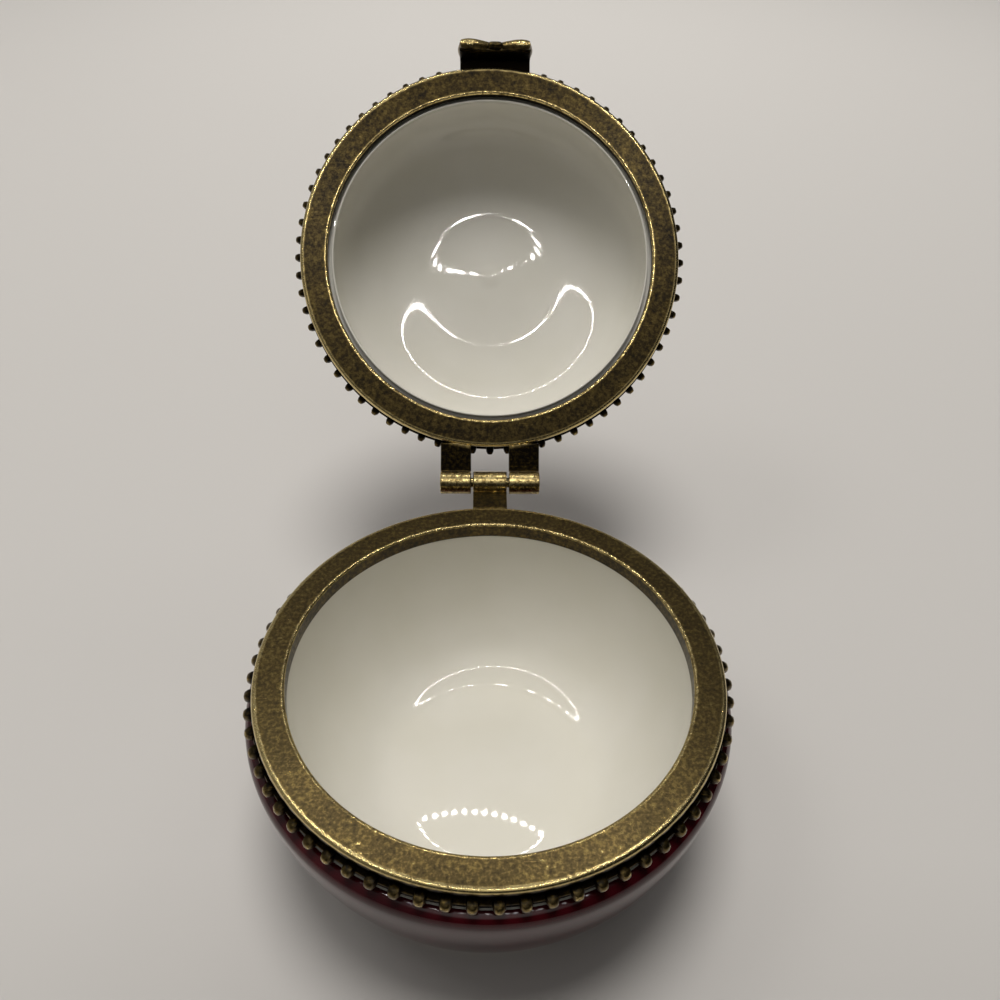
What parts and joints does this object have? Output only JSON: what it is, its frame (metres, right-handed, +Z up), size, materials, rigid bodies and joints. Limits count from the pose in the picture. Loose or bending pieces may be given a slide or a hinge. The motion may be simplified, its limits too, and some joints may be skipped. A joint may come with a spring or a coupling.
{
  "type": "hinged trinket box",
  "caption": "Small hinged porcelain box in the shape of an apple, with beaded brass rims and a bow-shaped clasp, shown open; holds rings and other small keepsakes.",
  "frame": {"origin": "centre of the flat foot on the table", "axes": "+Z up, out of the bowl's mouth; +Y from the front to the hinge at the back; +X along the hinge axis, to the right seen from the front"},
  "size_m": [0.0524, 0.0959, 0.0679],
  "materials": {
    "crimson_glaze": "gloss glaze, crimson outside and white inside",
    "antique_brass": "darkened cast brass with worn bright edges",
    "polished_brass": "bright drawn brass wire"
  },
  "bodies": {
    "base": {"bowl": "crimson_glaze", "bowl_rim": "antique_brass", "hinge_pin": "polished_brass"},
    "lid": {"lid_shell": "crimson_glaze", "lid_rim": "antique_brass", "bow_clasp": "antique_brass"}
  },
  "joints": [
    {"name": "lid_hinge", "type": "hinge", "parent": "base", "child": "lid", "pos_m": [0, 0.02973, 0.0231], "axis": [1, 0, 0], "range_deg": [0, 130.6]}
  ]
}
